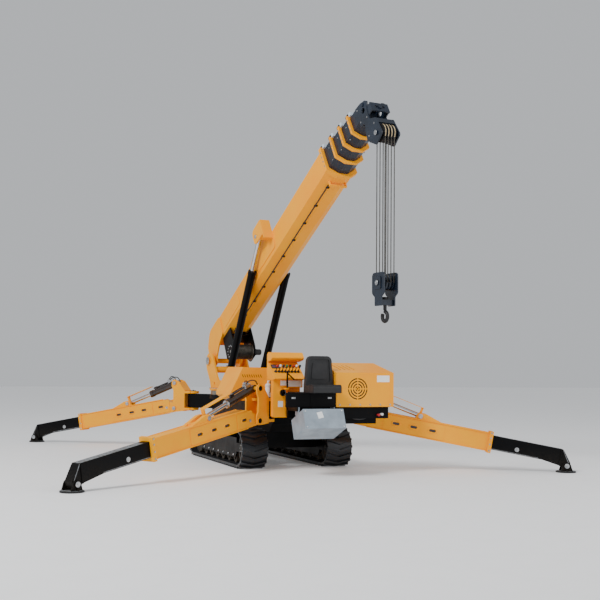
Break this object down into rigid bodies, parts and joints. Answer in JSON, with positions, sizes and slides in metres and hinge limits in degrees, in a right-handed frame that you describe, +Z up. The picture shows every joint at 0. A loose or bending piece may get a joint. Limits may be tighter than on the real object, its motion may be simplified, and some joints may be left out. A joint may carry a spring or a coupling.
{
  "type": "spider crane",
  "caption": "Compact crawler crane: rubber tracks, four folding outrigger legs on ground pads, slewing column and a telescoping boom with a winch and a rope-hung hook block.",
  "frame": {"origin": "on the ground, under the middle of the overall box", "axes": "X from the boom's heel to the operator's end, Y to the machine's left, Z up"},
  "size_m": [9.2716, 8.0868, 5.5609],
  "materials": {
    "yellow_paint": "gloss yellow-orange machine paint",
    "dark_paint": "blue-black satin paint",
    "black_paint": "black satin paint",
    "track_rubber": "moulded black rubber",
    "cast_wheels": "cast wheels, painted dark",
    "engine_iron": "cast block",
    "black_plastic": "matte black plastic",
    "seat_plastic": "dark moulded seat",
    "grey_sheet": "grey-blue painted sheet",
    "bare_steel": "bare steel",
    "rope_steel": "wire rope",
    "white_bottle": "white enamelled bottle",
    "chromed_rod": "chromed piston rod"
  },
  "bodies": {
    "chassis": {"main_frame": "black_paint", "track_frames": "black_paint", "track_left": "track_rubber", "track_right": "track_rubber", "running_gear": "cast_wheels", "front_subframe": "black_paint", "engine_cover": "yellow_paint", "engine": "engine_iron", "side_housing": "yellow_paint", "console": "yellow_paint", "console_hood": "yellow_paint", "brace_post": "black_paint", "work_lamp": "chromed_rod", "extinguisher": "white_bottle", "control_levers": "black_plastic", "seat_base": "black_paint", "seat": "seat_plastic", "foot_box": "grey_sheet", "slew_ring": "bare_steel"},
    "turret": {"column": "yellow_paint"},
    "boom": {"boom_base": "yellow_paint", "winch_frame": "black_paint"},
    "drum": {"winch_drum": "bare_steel"},
    "stage_2": {"boom_section_2": "dark_paint"},
    "stage_3": {"boom_section_3": "dark_paint"},
    "stage_4": {"boom_section_4": "dark_paint"},
    "stage_5": {"boom_section_5": "dark_paint", "boom_head": "dark_paint"},
    "sheaves": {"head_sheaves": "black_paint"},
    "rope_fall": {"hoist_ropes": "rope_steel"},
    "block": {"hook_block": "dark_paint"},
    "load_hook": {"hook": "black_paint"},
    "lift_barrel_pair": {"lift_barrels": "black_paint"},
    "lift_rod_pair": {"lift_rods": "chromed_rod"},
    "right_front_bracket_body": {"right_front_bracket": "yellow_paint"},
    "right_front_arm_body": {"right_front_arm": "yellow_paint"},
    "right_front_inner_arm_body": {"right_front_inner_arm": "black_paint"},
    "right_front_foot_body": {"right_front_foot": "black_paint"},
    "right_front_barrel_body": {"right_front_barrel": "black_paint"},
    "right_front_rod_body": {"right_front_rod": "chromed_rod"},
    "right_rear_bracket_body": {"right_rear_bracket": "yellow_paint"},
    "right_rear_arm_body": {"right_rear_arm": "yellow_paint"},
    "right_rear_inner_arm_body": {"right_rear_inner_arm": "black_paint"},
    "right_rear_foot_body": {"right_rear_foot": "black_paint"},
    "right_rear_barrel_body": {"right_rear_barrel": "black_paint"},
    "right_rear_rod_body": {"right_rear_rod": "chromed_rod"},
    "left_front_bracket_body": {"left_front_bracket": "yellow_paint"},
    "left_front_arm_body": {"left_front_arm": "yellow_paint"},
    "left_front_inner_arm_body": {"left_front_inner_arm": "black_paint"},
    "left_front_foot_body": {"left_front_foot": "black_paint"},
    "left_front_barrel_body": {"left_front_barrel": "black_paint"},
    "left_front_rod_body": {"left_front_rod": "chromed_rod"},
    "left_rear_bracket_body": {"left_rear_bracket": "yellow_paint"},
    "left_rear_arm_body": {"left_rear_arm": "yellow_paint"},
    "left_rear_inner_arm_body": {"left_rear_inner_arm": "black_paint"},
    "left_rear_foot_body": {"left_rear_foot": "black_paint"},
    "left_rear_barrel_body": {"left_rear_barrel": "black_paint"},
    "left_rear_rod_body": {"left_rear_rod": "chromed_rod"}
  },
  "joints": [
    {"name": "slew", "type": "hinge", "parent": "chassis", "child": "turret", "pos_m": [-0.74072, -0.01152, 1.0933], "axis": [0, 0, 1], "continuous": true},
    {"name": "luff", "type": "hinge", "parent": "turret", "child": "boom", "pos_m": [-1.4022, -0.0694, 1.727], "axis": [0.0872, -0.9962, 0], "range_deg": [-25.7, 47.3]},
    {"name": "drum_turn", "type": "hinge", "parent": "boom", "child": "drum", "pos_m": [-0.69324, -0.00737, 1.89951], "axis": [-0.0872, 0.9962, 0], "continuous": true},
    {"name": "telescope", "type": "slide", "parent": "boom", "child": "stage_2", "axis": [0.8566, 0.0749, 0.5105], "range_m": [0, 3.5]},
    {"name": "telescope_3", "type": "slide", "parent": "stage_2", "child": "stage_3", "axis": [0.8566, 0.0749, 0.5105], "range_m": [0, 3.5]},
    {"name": "telescope_4", "type": "slide", "parent": "stage_3", "child": "stage_4", "axis": [0.8566, 0.0749, 0.5105], "range_m": [0, 3.5]},
    {"name": "telescope_5", "type": "slide", "parent": "stage_4", "child": "stage_5", "axis": [0.8566, 0.0749, 0.5105], "range_m": [0, 3.5]},
    {"name": "sheave_turn", "type": "hinge", "parent": "stage_5", "child": "sheaves", "pos_m": [4.46096, 0.44356, 5.00643], "axis": [-0.0872, 0.9962, 0], "continuous": true},
    {"name": "rope_hang", "type": "hinge", "parent": "stage_5", "child": "rope_fall", "pos_m": [4.46096, 0.44356, 5.00643], "axis": [0.0872, -0.9962, 0], "range_deg": [-48, 26]},
    {"name": "hoist", "type": "slide", "parent": "rope_fall", "child": "block", "axis": [0, 0, -1], "range_m": [-1.6, 0], "deforming": ["hoist_ropes"]},
    {"name": "hook_swivel", "type": "hinge", "parent": "block", "child": "load_hook", "pos_m": [4.46096, 0.44356, 2.505], "axis": [0, 0, 1], "continuous": true},
    {"name": "lift_cylinder_turn", "type": "hinge", "parent": "turret", "child": "lift_barrel_pair", "pos_m": [-0.52953, 0.00695, 1.3], "axis": [0.0872, -0.9962, 0], "range_deg": [-24.7, 45.3]},
    {"name": "lift_cylinder_stroke", "type": "slide", "parent": "lift_barrel_pair", "child": "lift_rod_pair", "axis": [0.4679, 0.0409, 0.8829], "range_m": [-0.43, 0.78]},
    {"name": "right_front_swing", "type": "hinge", "parent": "chassis", "child": "right_front_bracket_body", "pos_m": [2.33428, -0.56152, 1.08], "axis": [0, 0, -1], "range_deg": [0, 45]},
    {"name": "right_front_lift", "type": "hinge", "parent": "right_front_bracket_body", "child": "right_front_arm_body", "pos_m": [2.50728, -0.86117, 0.788], "axis": [-0.866, -0.5, 0], "range_deg": [-3, 44]},
    {"name": "right_front_extend", "type": "slide", "parent": "right_front_arm_body", "child": "right_front_inner_arm_body", "axis": [0.4923, -0.8527, -0.175], "range_m": [-0.8, 0.25]},
    {"name": "right_front_foot_tilt", "type": "hinge", "parent": "right_front_inner_arm_body", "child": "right_front_foot_body", "pos_m": [4.25507, -3.88843, 0.10593], "axis": [-0.866, -0.5, 0], "range_deg": [-25, 25]},
    {"name": "right_front_cylinder_turn", "type": "hinge", "parent": "right_front_bracket_body", "child": "right_front_barrel_body", "pos_m": [2.50728, -0.86117, 1.286], "axis": [-0.866, -0.5, 0], "range_deg": [-4, 45]},
    {"name": "right_front_cylinder_stroke", "type": "slide", "parent": "right_front_barrel_body", "child": "right_front_rod_body", "axis": [0.4663, -0.8077, -0.3607], "range_m": [-0.38, 0.03]},
    {"name": "right_rear_swing", "type": "hinge", "parent": "chassis", "child": "right_rear_bracket_body", "pos_m": [-1.93772, -0.57752, 1.08], "axis": [0, 0, 1], "range_deg": [-25, 25]},
    {"name": "right_rear_lift", "type": "hinge", "parent": "right_rear_bracket_body", "child": "right_rear_arm_body", "pos_m": [-2.17633, -0.82809, 0.788], "axis": [-0.7242, 0.6896, 0], "range_deg": [-3, 44]},
    {"name": "right_rear_extend", "type": "slide", "parent": "right_rear_arm_body", "child": "right_rear_inner_arm_body", "axis": [-0.678, -0.712, -0.1827], "range_m": [-0.8, 0.25]},
    {"name": "right_rear_foot_tilt", "type": "hinge", "parent": "right_rear_inner_arm_body", "child": "right_rear_foot_body", "pos_m": [-4.48079, -3.24801, 0.10601], "axis": [-0.7242, 0.6896, 0], "range_deg": [-25, 25]},
    {"name": "right_rear_cylinder_turn", "type": "hinge", "parent": "right_rear_bracket_body", "child": "right_rear_barrel_body", "pos_m": [-2.17633, -0.82809, 1.286], "axis": [-0.7242, 0.6896, 0], "range_deg": [-4, 45]},
    {"name": "right_rear_cylinder_stroke", "type": "slide", "parent": "right_rear_barrel_body", "child": "right_rear_rod_body", "axis": [-0.6415, -0.6737, -0.3669], "range_m": [-0.38, 0.03]},
    {"name": "left_front_swing", "type": "hinge", "parent": "chassis", "child": "left_front_bracket_body", "pos_m": [2.33428, 0.53848, 1.08], "axis": [0, 0, 1], "range_deg": [0, 41]},
    {"name": "left_front_lift", "type": "hinge", "parent": "left_front_bracket_body", "child": "left_front_arm_body", "pos_m": [2.48704, 0.84893, 0.788], "axis": [0.8973, -0.4415, 0], "range_deg": [-3, 44]},
    {"name": "left_front_extend", "type": "slide", "parent": "left_front_arm_body", "child": "left_front_inner_arm_body", "axis": [0.4343, 0.8826, -0.1803], "range_m": [-0.8, 0.25]},
    {"name": "left_front_foot_tilt", "type": "hinge", "parent": "left_front_inner_arm_body", "child": "left_front_foot_body", "pos_m": [3.98266, 3.88843, 0.10598], "axis": [0.8973, -0.4415, 0], "range_deg": [-25, 25]},
    {"name": "left_front_cylinder_turn", "type": "hinge", "parent": "left_front_bracket_body", "child": "left_front_barrel_body", "pos_m": [2.48704, 0.84893, 1.286], "axis": [0.8973, -0.4415, 0], "range_deg": [-4, 45]},
    {"name": "left_front_cylinder_stroke", "type": "slide", "parent": "left_front_barrel_body", "child": "left_front_rod_body", "axis": [0.4111, 0.8354, -0.365], "range_m": [-0.38, 0.03]},
    {"name": "left_rear_swing", "type": "hinge", "parent": "chassis", "child": "left_rear_bracket_body", "pos_m": [-1.93772, 0.55448, 1.08], "axis": [0, 0, -1], "range_deg": [-25, 25]},
    {"name": "left_rear_lift", "type": "hinge", "parent": "left_rear_bracket_body", "child": "left_rear_arm_body", "pos_m": [-2.17633, 0.80504, 0.788], "axis": [0.7242, 0.6896, 0], "range_deg": [-3, 44]},
    {"name": "left_rear_extend", "type": "slide", "parent": "left_rear_arm_body", "child": "left_rear_inner_arm_body", "axis": [-0.678, 0.712, -0.1827], "range_m": [-0.8, 0.25]},
    {"name": "left_rear_foot_tilt", "type": "hinge", "parent": "left_rear_inner_arm_body", "child": "left_rear_foot_body", "pos_m": [-4.48079, 3.22496, 0.10601], "axis": [0.7242, 0.6896, 0], "range_deg": [-25, 25]},
    {"name": "left_rear_cylinder_turn", "type": "hinge", "parent": "left_rear_bracket_body", "child": "left_rear_barrel_body", "pos_m": [-2.17633, 0.80504, 1.286], "axis": [0.7242, 0.6896, 0], "range_deg": [-4, 45]},
    {"name": "left_rear_cylinder_stroke", "type": "slide", "parent": "left_rear_barrel_body", "child": "left_rear_rod_body", "axis": [-0.6415, 0.6737, -0.3669], "range_m": [-0.38, 0.03]}
  ],
  "couplings": [
    {"joint": "telescope_3", "follows": "telescope", "ratio": 1},
    {"joint": "telescope_4", "follows": "telescope", "ratio": 1},
    {"joint": "telescope_5", "follows": "telescope", "ratio": 1},
    {"joint": "rope_hang", "follows": "luff", "ratio": -1},
    {"joint": "lift_cylinder_turn", "follows": "luff", "ratio": 0.955},
    {"joint": "lift_cylinder_stroke", "follows": "luff", "m_per_rad": 0.9397},
    {"joint": "right_front_cylinder_turn", "follows": "right_front_lift", "ratio": 1},
    {"joint": "right_front_cylinder_stroke", "follows": "right_front_lift", "m_per_rad": -0.48},
    {"joint": "right_rear_cylinder_turn", "follows": "right_rear_lift", "ratio": 1},
    {"joint": "right_rear_cylinder_stroke", "follows": "right_rear_lift", "m_per_rad": -0.48},
    {"joint": "left_front_cylinder_turn", "follows": "left_front_lift", "ratio": 1},
    {"joint": "left_front_cylinder_stroke", "follows": "left_front_lift", "m_per_rad": -0.48},
    {"joint": "left_rear_cylinder_turn", "follows": "left_rear_lift", "ratio": 1},
    {"joint": "left_rear_cylinder_stroke", "follows": "left_rear_lift", "m_per_rad": -0.48}
  ]
}
